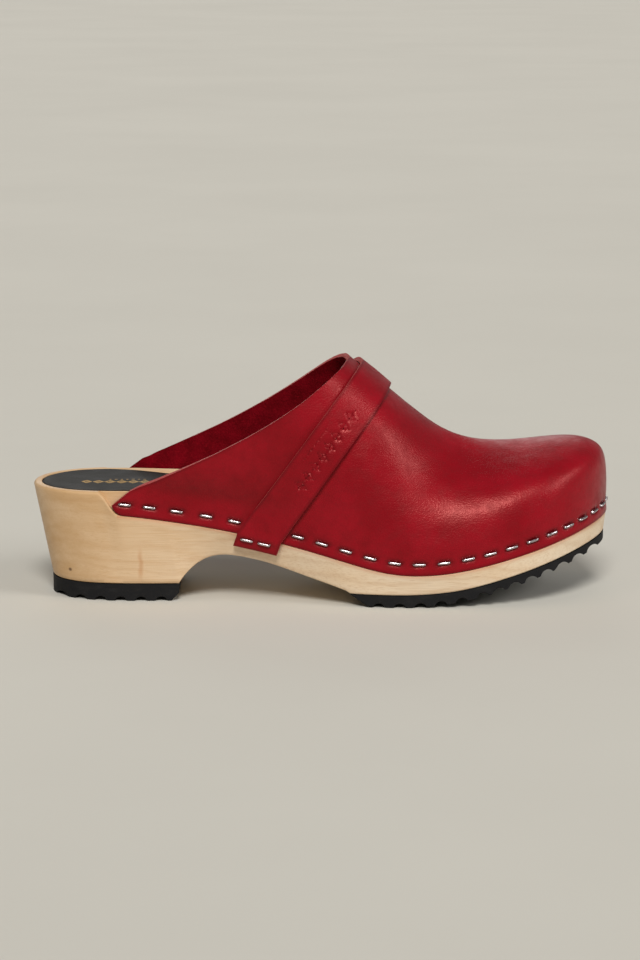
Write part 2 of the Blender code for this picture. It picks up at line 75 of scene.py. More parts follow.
# Stations along the shoe, and the points (station, height) of two short outlines.
NOTCH, NOTCH_FRONT = 30.5, 41.0
NOTCH_SLOPE = [(33.0, 48.2), (36.0, 43.4), (38.5, 40.8)]
RIM_FRONT = 66.0
LEATHER_BACK = 37.2
BACK_CORNER = [(LEATHER_BACK, 44.4), (38.3, 42.0)]
THROAT = 86.0
STRAP_BACK, STRAP_FRONT = 93.2, 112.8
HEEL_FRONT = 66.6
BALL_BACK = 143.6
TREAD_BACK, TREAD_TIP = 8, 260
HEEL_GROOVES = 13.2 + 9.1 * np.arange(6)
FOREFOOT_GROOVES = (*(156.2 + 9.3 * np.arange(6)), *(210.0 + 7.3 * np.arange(7)))

# Where the stamped ornaments start: (run, across) on the strap, and (station, y) on the pad.
STRAP_STAMP = (37.0, -1.2)
PAD_STAMP = (24.0, -3.0)
# Marks in the heel's wood: the station of the streak on its outer side, and the (station, height)
# of the knot that runs through it.
STREAK = 49.6
KNOT = (17.4, 13.2)


def spline(points, bend_ends=True):
    """The cubic spline through the points (x, y), as a function of x."""
    xs, ys = np.array(points, float).T
    steps = np.diff(xs)
    system = np.eye(len(xs))
    right = np.zeros(len(xs))
    for i in range(1, len(xs) - 1):
        system[i, i - 1 : i + 2] = steps[i - 1], 2 * (steps[i - 1] + steps[i]), steps[i]
        right[i] = 6 * ((ys[i + 1] - ys[i]) / steps[i] - (ys[i] - ys[i - 1]) / steps[i - 1])
    if bend_ends:
        system[0, 1] = -1
        system[-1, -2] = -1
    bends = np.linalg.solve(system, right)

    def at(x):
        x = np.clip(np.asarray(x, float), xs[0], xs[-1])
        i = np.clip(np.searchsorted(xs, x) - 1, 0, len(steps) - 1)
        b = (x - xs[i]) / steps[i]
        a = 1 - b
        curve = (a**3 - a) * bends[i] + (b**3 - b) * bends[i + 1]
        return a * ys[i] + b * ys[i + 1] + curve * steps[i] ** 2 / 6

    return at


class Outline:
    """A closed plan outline with round ends.

    Each side's y is a spline of the station angle, which is 0 at the back and pi at the tip.
    """

    def __init__(self, back, tip, outer, inner):
        self.back = back
        self.length = tip - back
        self.sides = {}
        for side, points in ((OUTER, outer), (INNER, inner)):
            angles = [(self.angle(x), y) for x, y in points]
            self.sides[side] = spline(angles, bend_ends=False)

    def angle(self, x):
        return np.arccos(np.clip(1 - 2 * (x - self.back) / self.length, -1, 1))

    def y(self, x, side):
        return self.sides[side](self.angle(x))

    def tangent(self, angle, side):
        step = 1e-3
        low, high = max(angle - step, 0), min(angle + step, np.pi)
        slope_x = self.length / 2 * (np.cos(low) - np.cos(high))
        slope_y = self.sides[side](high) - self.sides[side](low)
        if angle in (0, np.pi):
            slope_x = 0.0
        return np.array([slope_x, slope_y]) / np.hypot(slope_x, slope_y)

    def at(self, angle, side, inset=0.0):
        """The point (x, y) on one side, moved inwards by inset."""
        x = self.back + self.length * (1 - np.cos(angle)) / 2
        along = self.tangent(angle, side)
        inward = side * np.array([along[1], -along[0]])
        return np.array([x, float(self.sides[side](angle))]) + inset * inward


# The plan outlines and side profiles of the CAD part.
LEDGE = Outline(
    0,
    SOLE_LENGTH,
    [(0, 0), (10, -22.5), (38, -31.5), (75, -30.5), (115, -35.5), (150, -42.5), (178, -44.5),
     (207, -42.5), (232, -34.8), (252.5, -16), (SOLE_LENGTH, 9)],
    [(0, 0), (10, 22.5), (38, 31.5), (75, 27.5), (115, 30.5), (155, 41), (190, 46), (225, 44),
     (250.5, 32), (SOLE_LENGTH, 9)],
)  # fmt: skip
BOTTOM = Outline(
    TREAD_BACK,
    TREAD_TIP,
    [(TREAD_BACK, 0), (16.5, -19), (38, -27), (66, -27), (95, -28), (125, -33.5), (150, -40), (178, -42),
     (207, -40.5), (231, -33), (251.5, -14.5), (TREAD_TIP, 9)],
    [(TREAD_BACK, 0), (16.5, 19), (38, 27), (66, 24.5), (90, 23.5), (115, 27), (155, 38.5), (190, 43.5),
     (224, 41.5), (249.5, 30.5), (TREAD_TIP, 9)],
)  # fmt: skip
PAD = Outline(
    4.6,
    88,
    [(4.6, 0), (12, -18.0), (28, -25.7), (45, -24.0), (61, -17.5), (78, -10.5), (88, 0)],
    [(4.6, 0), (12, 18.0), (28, 25.7), (45, 24.0), (61, 17.5), (78, 10.5), (88, 0)],
)
ARCH = spline([(HEEL_FRONT, 8.0), (68.8, 11.2), (71.6, 14.4), (76.4, 18.3), (81, 20.4), (87, 21.3),
               (94.7, 20.6), (106.2, 18.2), (122, 13.3), (138.9, 8.0), (BALL_BACK, 6.4)])  # fmt: skip
ROCKER = spline([(BALL_BACK, 5.9), (156, BALL_RUBBER), (168, BALL_RUBBER), (180, 6.4), (192.6, 8.0),
                 (210.5, 12.3), (229, 17.6), (246, 22.7), (TREAD_TIP, 26.6)])  # fmt: skip
LEDGE_HEIGHT = spline([(38, 40.2), (47.8, 39.2), (63.7, 36.9), (81.8, 34.0), (97, 31.2), (114.5, 27.5),
                       (130, 23.7), (146, 19.4), (161, 16.0), (175, 15.2), (189, 16.4), (210, 20.8),
                       (229, 26.0), (240, 29.2), (249, 31.9), (SOLE_LENGTH, 35.6)])  # fmt: skip
RIM_FALL = spline([(RIM_FRONT, RIM), (85, 48.6), (105, 43.2), (125, 36.2), (145, 30.2), (161, 26.6),
                   (175, 25.8), (189, 26.8), (210, 31.2), (229, 36.3), (249, 41.6),
                   (SOLE_LENGTH, 44.5)])  # fmt: skip
TOPLINE = spline([(LEATHER_BACK, 44.4), (42.4, 49.2), (53, 54.3), (67.6, 61.0), (82.2, 68.1),
                  (96.8, 75.8), (111.3, 84.4), (126, 94.7), (134, 101.0), (139.5, 105.0),
                  (143.5, 107.2)])  # fmt: skip
CREST = spline([(112, 146.0), (130, 121.5), (143.5, 107.2), (152, 100.0), (162, 91.6), (171.8, 83.5),
                (181, 76.6), (191, 71.5), (202, 68.8), (212, 68.2), (224, 68.7), (236, 69.4),
                (246, 69.6)])  # fmt: skip
CREST_SIDE = spline([(112, 0), (160, 0.5), (200, 3.0), (246, 7.0)])
RIB_TOP = spline([(LEATHER_BACK, 113), (60, 126.5), (THROAT, 143.5), (93, 147.8), (113, 160.7),
                  (130, 172.5), (155, 186), (180, 197), (205, 209), (225, 220), (240, 229),
                  (252, 236), (SOLE_LENGTH, 240)])  # fmt: skip
RIB_SQUARENESS = spline([(LEATHER_BACK, 3.2), (THROAT, 3.3), (120, 2.7), (160, 2.35), (195, 2.5),
                         (218, 3.0), (240, 3.5), (SOLE_LENGTH, 3.2)])  # fmt: skip
RIDGE_HEIGHT = spline([(LEATHER_BACK, 0.36), (130, 0.36), (162, 0.41), (198, 0.45), (216, 0.50), (235, 0.58),
                       (251, 0.72), (SOLE_LENGTH, 0.80)])  # fmt: skip
RIDGE_SHARE = spline([(LEATHER_BACK, 0), (112, 0), (125, 0), (145, 0.35), (168, 0.8), (195, 0.9), (235, 0.9),
                      (250, 0.6), (SOLE_LENGTH, 0.2)])  # fmt: skip
RIDGE_TIGHTNESS = 6
ROOF_CURVE = 0.72
TOE_TURN = spline([(LEATHER_BACK, 0), (150, 0), (195, 0), (215, 0.25), (240, 0.8), (SOLE_LENGTH, 1)])
HEEL_FLARE = spline([(LEATHER_BACK, 4), (60, 7), (90, 4), (115, 0.8), (130, 0), (SOLE_LENGTH, 0)])
FLARE_RISE = 9.0
WALL_SHARE = {OUTER: (0.808, 0.83), INNER: (0.847, 0.83)}
INNER_RISE = spline([(LEATHER_BACK, 0), (45, 1.9), (55, 2.6), (75, 2.2), (97, 1.8), (126, 1.3), (143.5, 0)])

REAR_STAPLES = (42.9, 53.9, 66.0, 79.2, 91.8)
HIDDEN_STAPLE = 104.6
STRAP_STAPLES = (97.6, 105.4)
FRONT_STAPLES_END = 120.0


def bottom_height(x):
    """The wood's underside: a flat heel, the breast and arch, and the rocker of the forepart."""
    if x <= HEEL_FRONT:
        return HEEL_RUBBER
    return float(ARCH(x) if x < BALL_BACK else ROCKER(x))


def rim_height(x):
    """The top of the wood's side: level round the heel, then a rebate's height above the ledge."""
    return RIM if x < RIM_FRONT else float(RIM_FALL(x))


def side_top(x):
    """The top edge of the wood's outer face: the rim behind the notch, the ledge in front of it."""
    if x >= NOTCH_FRONT:
        return float(LEDGE_HEIGHT(x))
    slope = [(NOTCH, rim_height(NOTCH)), *NOTCH_SLOPE, (NOTCH_FRONT, float(LEDGE_HEIGHT(NOTCH_FRONT)))]
    return float(np.interp(x, *zip(*slope)))


def footbed_height(x, across):
    """The dished top of the sole; across runs from -1 to 1 between its edges."""
    ends = min(max((x - 4) / 30, 0), max((SOLE_LENGTH - 4 - x) / 30, 0), 1)
    depth = SEAT_DISH * (1 - (1 - ends) ** 2)
    return rim_height(x) - SEAT_STEP - depth * (1 - across**4)


def section_reach(foot_x, h):
    """How far out a rib's section reaches at heights h from 0 to 1: an arch, or a wall under a roof."""
    square = float(RIB_SQUARENESS(foot_x))
    arch = (1 - h**square) ** (1 / square)
    roof = ((1 - h) / (1 - float(RIDGE_HEIGHT(foot_x)))) ** ROOF_CURVE
    ridged = roof / (1 + roof**RIDGE_TIGHTNESS) ** (1 / RIDGE_TIGHTNESS)
    return arch + (ridged / ridged[0] - arch) * float(RIDGE_SHARE(foot_x))


def rib(angle, side, g):
    """Points (x, y, z) of the upper's outer face on one rib, from the ledge, g = 0, to the crest, 1."""
    foot_x, _ = LEDGE.at(angle, side)
    foot_z = float(LEDGE_HEIGHT(foot_x)) + GAP
    if foot_x < NOTCH_FRONT:
        foot_z = float(np.interp(foot_x, *zip(*BACK_CORNER, (NOTCH_FRONT, foot_z))))
    top_x = float(RIB_TOP(foot_x))
    top_y = float(CREST_SIDE(top_x))
    rise = float(CREST(top_x)) - foot_z
    plumb = (REBATE_HEIGHT + 1) / rise
    h = np.clip((g - plumb) / (1 - plumb), 0, 1)
    reach = section_reach(foot_x, h)
    turn = float(TOE_TURN(foot_x))
    x = foot_x + (top_x - foot_x) * ((1 - turn) * g + turn * (1 - reach))
    wall_y = LEDGE.y(foot_x + (1 - turn) * (x - foot_x), side)
    above = np.clip(rise * g - REBATE_HEIGHT, 0, None)
    flare = float(HEEL_FLARE(foot_x)) * above**2 / (above**2 + FLARE_RISE**2)
    y = top_y + (wall_y - top_y) * reach + side * flare * reach
    return np.stack([x, y, foot_z + rise * g], axis=-1)


def dense_ends(count, strength=0.6):
    """Fractions from 0 to 1, closer together near both ends."""
    even = np.linspace(0, 1, count + 1)
    return (1 - strength) * even + strength * (1 - np.cos(np.pi * even)) / 2


def rib_line(x, side, wall, top):
    """The visible stretch of the rib from station x of the ledge, in wall and top parts.

    Behind the throat it ends at the topline, and in front it goes on over the foot to the crest.
    """
    heights = np.sort(np.concatenate([np.linspace(0, 1, 1201), 1 - np.geomspace(1e-6, 1e-3, 60)]))
    points = rib(LEDGE.angle(x), side, heights)
    if x < THROAT:
        higher = INNER_RISE(points[:, 0]) if side == INNER else 0
        over = np.nonzero(points[:, 2] > TOPLINE(points[:, 0]) + higher)[0]
        points = points[: max(over[0], 1)]
    lengths = np.concatenate([[0], np.cumsum(np.linalg.norm(np.diff(points, axis=0), axis=1))])
    if x < THROAT:
        wanted = lengths[-1] * dense_ends(wall)
    else:
        shoulder = lengths[-1] * np.interp(x, (THROAT, SOLE_LENGTH), WALL_SHARE[side])
        wanted = [*shoulder * dense_ends(wall), *np.linspace(shoulder, lengths[-1], top + 1)[1:]]
    return np.stack([np.interp(wanted, lengths, points[:, k]) for k in range(3)], axis=-1)


# Meshes.
def add_grid(shape, rows):
    """Adds a sheet of quads through the rows of points, given in shoe millimetres."""
    rows = [[shape.verts.new(point) for point in (np.asarray(row) + SHOE_ORIGIN) * MM] for row in rows]
    for lower, upper in zip(rows, rows[1:]):
        for i in range(len(lower) - 1):
            shape.faces.new((lower[i], lower[i + 1], upper[i + 1], upper[i]))


def make_piece(name, shape, materials, sharp=None):
    """Makes an object of the shape, once the points that meet are joined and its faces look outwards."""
    bmesh.ops.remove_doubles(shape, verts=shape.verts, dist=0.01 * MM)
    bmesh.ops.dissolve_degenerate(shape, edges=shape.edges, dist=0.005 * MM)
    bmesh.ops.recalc_face_normals(shape, faces=shape.faces)
    highest = max(shape.faces, key=lambda face: face.calc_center_median().z)
    if highest.normal.z < 0:
        bmesh.ops.reverse_faces(shape, faces=shape.faces)
    mesh = bpy.data.meshes.new(name)
    shape.to_mesh(mesh)
    shape.free()
    mesh.shade_smooth()
    if sharp:
        mesh.set_sharp_from_angle(angle=np.radians(sharp))
    for finish in materials:
        mesh.materials.append(finish)
    obj = bpy.data.objects.new(name, mesh)
    bpy.context.scene.collection.objects.link(obj)
    return obj


def show(obj, slot, *nodes):
    """Makes the piece ride on the shoe and stand for its CAD nodes, which it hides; its slot is not used."""
    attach(obj, "root")
    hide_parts(*nodes)


def points_of(mesh):
    """The mesh's points and normals, in shoe millimetres."""
    points = np.empty(len(mesh.vertices) * 3)
    mesh.vertices.foreach_get("co", points)
    normals = np.array([normal.vector[:] for normal in mesh.vertex_normals])
    return points.reshape(-1, 3) / MM - SHOE_ORIGIN, normals


def set_points(mesh, points):
    mesh.vertices.foreach_set("co", ((points + SHOE_ORIGIN) * MM).ravel())
    mesh.update()


def set_values(mesh, name, values):
    """A value for each point, which a material reads."""
    mesh.attributes.new(name, "FLOAT", "POINT").data.foreach_set("value", np.asarray(values, float))


def distance_to(points, line):
    """How far each point is from a line of close points."""
    nearest = np.full(len(points), np.inf)
    for place in line:
        nearest = np.minimum(nearest, ((points - place) ** 2).sum(axis=1))
    return np.sqrt(nearest)


def waves(points, size, seed):
    """Smooth noise of about that size, from -1 to 1."""
    shift = Vector((seed * 7.3, seed * 3.1, seed * 5.7))
    return np.array([noise.noise(Vector(point) / size + shift) for point in points])


def thicken(obj, thickness, outward, bevel, inside=0, rim=0):
    """Makes a sheet solid with rounded edges. inside and rim are the material slots of its new faces."""
    shell = obj.modifiers.new("thickness", "SOLIDIFY")
    shell.thickness = thickness * MM
    shell.offset = 1 if outward else -1
    shell.material_offset = inside
    shell.material_offset_rim = rim
    edge = obj.modifiers.new("rounded_edges", "BEVEL")
    edge.width = bevel * MM
    edge.segments = 3
    edge.limit_method = "ANGLE"
    edge.angle_limit = np.radians(50)


# Staples.
def staple_frame(outline_angle, side, height, proud):
    """Where a staple sits: its crown's middle, the way its crown runs, and the way out of the shoe."""
    x, y = LEDGE.at(outline_angle, side)
    along = LEDGE.tangent(outline_angle, side)
    outward = -side * np.array([along[1], -along[0]])
    slope = float(LEDGE_HEIGHT(x + 0.5) - LEDGE_HEIGHT(x - 0.5)) * along[0]
    crown = Vector((along[0], along[1], slope)).normalized()
    out = Vector((outward[0], outward[1], 0))
    middle = Vector((x, y, float(LEDGE_HEIGHT(x)) + height)) + out * proud
    return middle, crown, out


def vamp_staple_angles(side):
    """Station angles of the staples that hold the vamp, from the tip of the toe backwards."""
    angles = np.linspace(np.pi, LEDGE.angle(FRONT_STAPLES_END), 2000)
    points = np.array([LEDGE.at(angle, side) for angle in angles])
    lengths = np.concatenate([[0], np.cumsum(np.linalg.norm(np.diff(points, axis=0), axis=1))])
    toe = (TOE_PITCH / 2 + side * 0.7) + TOE_PITCH * np.arange(10)
    count = round((lengths[-1] - toe[-1]) / SIDE_PITCH)
    flanks = np.linspace(toe[-1], lengths[-1], count + 1)[1:]
    front = [np.interp(run, lengths, angles) for run in (*toe, *flanks)]
    return front, [LEDGE.angle(x) for x in REAR_STAPLES[::-1]]


def staple(name, place):
    """A wire staple with round corners, like the hand-driven ones, its crown following the slope of the
    ledge.
    """
    middle, crown, out = place
    half, bend = STAPLE_CROWN / 2, 0.75
    path = []
    for end in (-1, 1):
        corner = []
        for turn in np.linspace(0, np.pi / 2, 6):
            sideways, down = half - bend + bend * np.sin(turn), bend * (1 - np.cos(turn))
            corner.append(middle + crown * end * sideways - out * down)
        corner.append(middle + crown * end * half - out * STAPLE_LEG)
        path += corner[::-1] if end < 0 else corner
    wire = bpy.data.curves.new(name, "CURVE")
    wire.dimensions = "3D"
    wire.bevel_depth = STAPLE_WIRE / 2 * MM
    wire.bevel_resolution = 5
    wire.use_fill_caps = True
    line = wire.splines.new("POLY")
    line.points.add(len(path) - 1)
    for point, spot in zip(line.points, path):
        point.co = (*((np.array(spot) + SHOE_ORIGIN) * MM), 1)
    line.use_smooth = True
    wire.materials.append(STEEL)
    obj = bpy.data.objects.new(name, wire)
    bpy.context.scene.collection.objects.link(obj)
    return obj


def staple_places():
    """Each staple's CAD node with its place; the visible ones lie partly sunk into the leather."""
    proud = 0.25
    places = {}
    for side, label in ((OUTER, "outer"), (INNER, "inner")):
        front, rear = vamp_staple_angles(side)
        frames = [staple_frame(angle, side, STAPLE_HEIGHT, proud) for angle in (*front, *rear)]
        frames.append(staple_frame(LEDGE.angle(HIDDEN_STAPLE), side, STAPLE_HEIGHT + 0.6, -0.7))
        for number, place in enumerate(frames, 1):
            places[f"vamp_staple_{label}_{number:02d}"] = place
        for number, x in enumerate(STRAP_STAPLES, 1):
            place = staple_frame(LEDGE.angle(x), side, -1.6, LEATHER + GAP + proud)
            places[f"strap_staple_{label}_{number}"] = place
    return places


def dents(points, places):
    """How deep the leather is pressed in round the staples, from 0 to 1."""
    depth = np.zeros(len(points))
    for middle, crown, out in places:
        off = points - np.array(middle)
        near = np.nonzero((off**2).sum(axis=1) < 64)[0]
        run = off[near] @ np.array(crown)
        up = off[near] @ np.array(crown.cross(out))
        beyond = np.clip(np.abs(run) - STAPLE_CROWN / 2, 0, None)
        depth[near] = np.maximum(depth[near], np.exp(-((up / 1.35) ** 2) - (beyond / 1.1) ** 2))
    return depth


# Materials.
class Paint:
    """A material's nodes, with short ways to add the ones used here."""

    def __init__(self, name, color, roughness, metallic=0.0, specular=0.5):
        self.material = bpy.data.materials.new(name)
        self.material.use_nodes = True
        self.tree = self.material.node_tree
        self.shader = self.tree.nodes["Principled BSDF"]
        self.shader.inputs["Base Color"].default_value = (*color, 1)
        self.shader.inputs["Roughness"].default_value = roughness
        self.shader.inputs["Metallic"].default_value = metallic
        self.shader.inputs["Specular IOR Level"].default_value = specular
        self.place = self.tree.nodes.new("ShaderNodeTexCoord").outputs["Object"]

    def add(self, kind, links=None, **settings):
        node = self.tree.nodes.new("ShaderNode" + kind)
        for key, value in settings.items():
            setattr(node, key, value)
        for socket, value in (links or {}).items():
            self.put(value, node.inputs[socket])
        return node

    def put(self, value, socket):
        if isinstance(value, bpy.types.NodeSocket):
            self.tree.links.new(value, socket)
        else:
            socket.default_value = value

    def stretched(self, sizes, turn=(0, 0, 0)):
        """Object coordinates in units of the three sizes, given in millimetres."""
        scale = tuple(1 / (size * MM) for size in sizes)
        node = self.add("Mapping", {"Vector": self.place, "Rotation": turn, "Scale": scale})
        return node.outputs["Vector"]

    def noise(self, sizes, detail=3.0, roughness=0.55, turn=(0, 0, 0)):
        links = {"Vector": self.stretched(sizes, turn), "Scale": 1.0}
        links |= {"Detail": detail, "Roughness": roughness}
        return self.add("TexNoise", links).outputs["Fac"]

    def cells(self, size):
        links = {"Vector": self.stretched((size,) * 3), "Scale": 1.0}
        return self.add("TexVoronoi", links).outputs["Distance"]

    def value(self, name):
        """The value that set_values gave the mesh's points under this name."""
        return self.add("Attribute", attribute_name=name).outputs["Fac"]

    def range(self, value, low, high, to_low=0.0, to_high=1.0):
        """The value, moved from one range to another and kept inside it."""
        links = {"Value": value, "From Min": low, "From Max": high, "To Min": to_low, "To Max": to_high}
        return self.add("MapRange", links, interpolation_type="SMOOTHSTEP").outputs["Result"]

    def math(self, operation, a, b=0.0):
        return self.add("Math", {0: a, 1: b}, operation=operation).outputs[0]

    def mix(self, share, a, b):
        """The color a turned into b by the share."""
        node = self.add("Mix", data_type="RGBA")
        self.put(share, node.inputs["Factor"])
        for socket, color in ((node.inputs[6], a), (node.inputs[7], b)):
            self.put(color if isinstance(color, bpy.types.NodeSocket) else (*color, 1), socket)
        return node.outputs[2]

    def bump(self, height, depth, below=None):
        """A bump of that depth in millimetres, added to the one below it."""
        links = {"Height": height, "Distance": depth * MM, "Strength": 1.0}
        if below:
            links["Normal"] = below
        return self.add("Bump", links).outputs["Normal"]

    def finish(self, color=None, roughness=None, normal=None):
        for value, socket in ((color, "Base Color"), (roughness, "Roughness"), (normal, "Normal")):
            if value is not None:
                self.put(value, self.shader.inputs[socket])
        return self.material


def leather_face():
    """Waxed full-grain leather: mottled deep red, darker at its edges, with painted shade round the staples
    and in the strap's stamped ornament.
    """
    paint = Paint("red_leather", (0.26, 0.002, 0.009), 0.42, specular=0.55)
    paint.shader.inputs["Specular Tint"].default_value = (1.0, 0.34, 0.31, 1)
    cloud = paint.noise((26, 26, 26), detail=4)
    blotch = paint.noise((4.5, 4.5, 4.5), detail=5, roughness=0.65)
    color = paint.mix(paint.range(cloud, 0.35, 0.65), (0.215, 0.0005, 0.006), (0.275, 0.002, 0.010))
    color = paint.mix(paint.range(blotch, 0.38, 0.72, 0, 0.3), color, (0.13, 0.0005, 0.004))
    scuff = paint.noise((30, 1.3, 1.1), detail=4, roughness=0.7, turn=(0.3, 0.9, 0.2))
    color = paint.mix(paint.range(scuff, 0.66, 0.85, 0, 0.3), color, (0.42, 0.03, 0.035))
    hem = paint.value("hem")
    color = paint.mix(paint.range(hem, 0.3, 1.7, 0.55, 0), color, (0.10, 0.0005, 0.004))
    # Painted shade: the dents round the staples and the strap's stamped ornament are darkened where shade
    # would fall.
    color = paint.mix(paint.math("MULTIPLY", paint.value("dent_and_shade"), 0.9), color, (0.035, 0.0005, 0.002))
    grain = paint.cells(0.8)
    fine = paint.noise((0.5, 0.5, 0.5), detail=3)
    rough = paint.range(blotch, 0.3, 0.75, 0.31, 0.43)
    normal = paint.bump(paint.noise((6, 6, 6), detail=2), 0.12)
    normal = paint.bump(grain, 0.06, normal)
    normal = paint.bump(fine, 0.05, normal)
    normal = paint.bump(scuff, 0.04, normal)
    return paint.finish(color, rough, normal)


def leather_flesh():
    """The rough side of the leather: a dark red nap."""
    paint = Paint("leather_flesh_side", (0.16, 0.002, 0.008), 0.92, specular=0.05)
    nap = paint.noise((0.8, 0.8, 0.8), detail=6, roughness=0.75)
    patch = paint.noise((7, 7, 7), detail=4)
    color = paint.mix(paint.range(patch, 0.3, 0.7), (0.10, 0.0005, 0.003), (0.17, 0.001, 0.006))
    color = paint.mix(paint.range(nap, 0.4, 0.75, 0, 0.6), color, (0.28, 0.006, 0.012))
    return paint.finish(color, None, paint.bump(nap, 0.5))


def leather_edge():
    """The cut edge of the leather, dyed through, with its fibres showing; their paler colour is partly a
    painted highlight along the edge.
    """
    paint = Paint("leather_cut_edge", (0.22, 0.02, 0.02), 0.62, specular=0.4)
    fibre = paint.noise((2.2, 0.5, 0.35), detail=5, roughness=0.7)
    # The paler fibre colour is partly the raw edge's own and partly a painted highlight along the edge.
    color = paint.mix(paint.range(fibre, 0.3, 0.75), (0.30, 0.012, 0.018), (0.55, 0.12, 0.10))
    return paint.finish(color, None, paint.bump(fibre, 0.25))


def wood_face():
    """Pale close-grained wood, turned and sanded: growth rings, fibres, flecks, a resin streak and a knot."""
    paint = Paint("alder_wood", (0.68, 0.46, 0.25), 0.5, specular=0.35)
    bend = paint.noise((90, 30, 30), detail=3)
    apart = paint.add("SeparateXYZ", {0: paint.stretched((1, 1, 1))})
    x, y, z = (apart.outputs[axis] for axis in "XYZ")
    station_0 = float(SHOE_ORIGIN[0])
    across = paint.math("POWER", paint.math("ADD", y, 34.0), 2.0)
    deep = paint.math("POWER", paint.math("ADD", z, 70.0), 2.0)
    radius = paint.math("SQRT", paint.math("ADD", across, deep))
    ring = paint.math("ADD", paint.math("MULTIPLY", radius, 1.05), paint.math("MULTIPLY", bend, 26.0))
    lines = paint.math("MULTIPLY", paint.math("SINE", ring), 0.5)
    rings = paint.math("POWER", paint.math("ADD", lines, 0.5), 3.0)
    fibre = paint.noise((42, 0.55, 0.5), detail=5, roughness=0.6)
    cloud = paint.noise((60, 20, 16), detail=4, roughness=0.6)
    heel = paint.mix(paint.range(cloud, 0.3, 0.7), (0.57, 0.35, 0.165), (0.68, 0.475, 0.28))
    fore = paint.mix(paint.range(cloud, 0.3, 0.7), (0.80, 0.61, 0.41), (0.86, 0.71, 0.53))
    color = paint.mix(paint.range(x, -115.0, 0.0), heel, fore)
    color = paint.mix(paint.range(fibre, 0.44, 0.74, 0, 0.4), color, (0.55, 0.33, 0.15))
    color = paint.mix(paint.math("MULTIPLY", rings, 0.18), color, (0.50, 0.27, 0.11))
    pores = paint.noise((7, 0.32, 0.3), detail=2)
    color = paint.mix(paint.range(pores, 0.66, 0.76, 0, 0.4), color, (0.36, 0.18, 0.07))
    wobble = paint.math("MULTIPLY", paint.math("SUBTRACT", paint.noise((9, 9, 7), detail=3), 0.5), 2.2)
    aside = paint.math("ABSOLUTE", paint.math("ADD", paint.math("ADD", x, -STREAK - station_0), wobble))
    streak = paint.range(aside, 0.1, 1.5, 1, 0)
    for part in (paint.range(z, 8.0, 14.0), paint.range(z, 19.0, 27.0, 1, 0), paint.range(y, -16.0, -22.0)):
        streak = paint.math("MULTIPLY", streak, part)
    color = paint.mix(paint.math("MULTIPLY", streak, 0.42), color, (0.50, 0.20, 0.06))
    bleed = paint.math("ADD", paint.value("seam"), paint.math("MULTIPLY", fibre, -2.0))
    color = paint.mix(paint.range(bleed, -3.4, -0.9, 0, 0.5), color, (0.60, 0.22, 0.10))
    knot_place = paint.add("CombineXYZ", {0: KNOT[0] + station_0, 1: y, 2: KNOT[1]})
    there = paint.add("CombineXYZ", {0: x, 1: y, 2: z})
    off = paint.add("VectorMath", {0: there.outputs[0], 1: knot_place.outputs[0]}, operation="DISTANCE")
    knot = paint.range(off.outputs["Value"], 0.35, 1.1, 0.8, 0)
    color = paint.mix(knot, color, (0.10, 0.04, 0.015))
    rough = paint.range(fibre, 0.3, 0.7, 0.42, 0.56)
    normal = paint.bump(fibre, 0.10)
    normal = paint.bump(pores, 0.05, normal)
    return paint.finish(color, rough, normal)


def rubber_face():
    """Moulded rubber with a fine matte texture and a little dust."""
    paint = Paint("black_rubber", (0.012, 0.012, 0.013), 0.75, specular=0.15)
    speck = paint.noise((0.5, 0.5, 0.5), detail=3)
    dust = paint.noise((9, 9, 4), detail=5, roughness=0.7)
    color = paint.mix(paint.range(dust, 0.45, 0.8, 0, 0.5), (0.010, 0.010, 0.011), (0.030, 0.029, 0.028))
    return paint.finish(color, paint.range(dust, 0.3, 0.8, 0.62, 0.8), paint.bump(speck, 0.12))


def pad_face():
    """Thin black leather with a gold stamped ornament, which the mark value gives."""
    paint = Paint("black_pad_leather", (0.012, 0.012, 0.012), 0.6, specular=0.12)
    grain = paint.cells(0.9)
    wear = paint.noise((12, 12, 12), detail=4)
    mark = paint.range(paint.value("mark"), 0.35, 0.65)
    color = paint.mix(paint.range(wear, 0.35, 0.75), (0.016, 0.016, 0.015), (0.032, 0.030, 0.028))
    color = paint.mix(mark, color, (0.42, 0.27, 0.10))
    rough = paint.range(wear, 0.3, 0.7, 0.58, 0.7)
    return paint.finish(color, rough, paint.bump(grain, 0.06))


def steel_face():
    """Bright drawn wire with faint scratches along it."""
    paint = Paint("staple_wire", (0.60, 0.56, 0.58), 0.22, metallic=1.0)
    scratch = paint.noise((1.2, 1.2, 0.15), detail=4)
    color = paint.mix(paint.range(scratch, 0.35, 0.75), (0.66, 0.62, 0.64), (0.34, 0.29, 0.31))
    return paint.finish(color, paint.range(scratch, 0.3, 0.7, 0.14, 0.32), paint.bump(scratch, 0.02))


def board_face():
    """Pressed fibre board, rough and matte."""
    paint = Paint("stiffener_board", (0.35, 0.26, 0.16), 0.85, specular=0.2)
    fibre = paint.noise((1.6, 0.5, 0.5), detail=5, roughness=0.7)
    color = paint.mix(paint.range(fibre, 0.3, 0.7), (0.26, 0.18, 0.11), (0.45, 0.35, 0.23))
    return paint.finish(color, None, paint.bump(fibre, 0.2))


def ground_face():
    """A plain pale studio floor with a faint cloudiness."""
    paint = Paint("studio_floor", (0.62, 0.60, 0.54), 0.9, specular=0.05)
    cloud = paint.noise((420, 420, 420), detail=5, roughness=0.6)
    color = paint.mix(paint.range(cloud, 0.2, 0.8), (0.605, 0.59, 0.537), (0.635, 0.62, 0.565))
    return paint.finish(color)


GRAIN_SIDE, FLESH_SIDE, CUT_EDGE = leather_face(), leather_flesh(), leather_edge()
WOOD, RUBBER, PAD_LEATHER = wood_face(), rubber_face(), pad_face()
STEEL, BOARD = steel_face(), board_face()
LEATHER_FACES = [GRAIN_SIDE, FLESH_SIDE, CUT_EDGE]


# The leather pieces.
def spread(first, last, count):
    """Stations between two of the ledge's, evenly spread in station angle."""
    angles = np.linspace(LEDGE.angle(first), LEDGE.angle(last), count)
    return LEDGE.back + LEDGE.length * (1 - np.cos(angles)) / 2


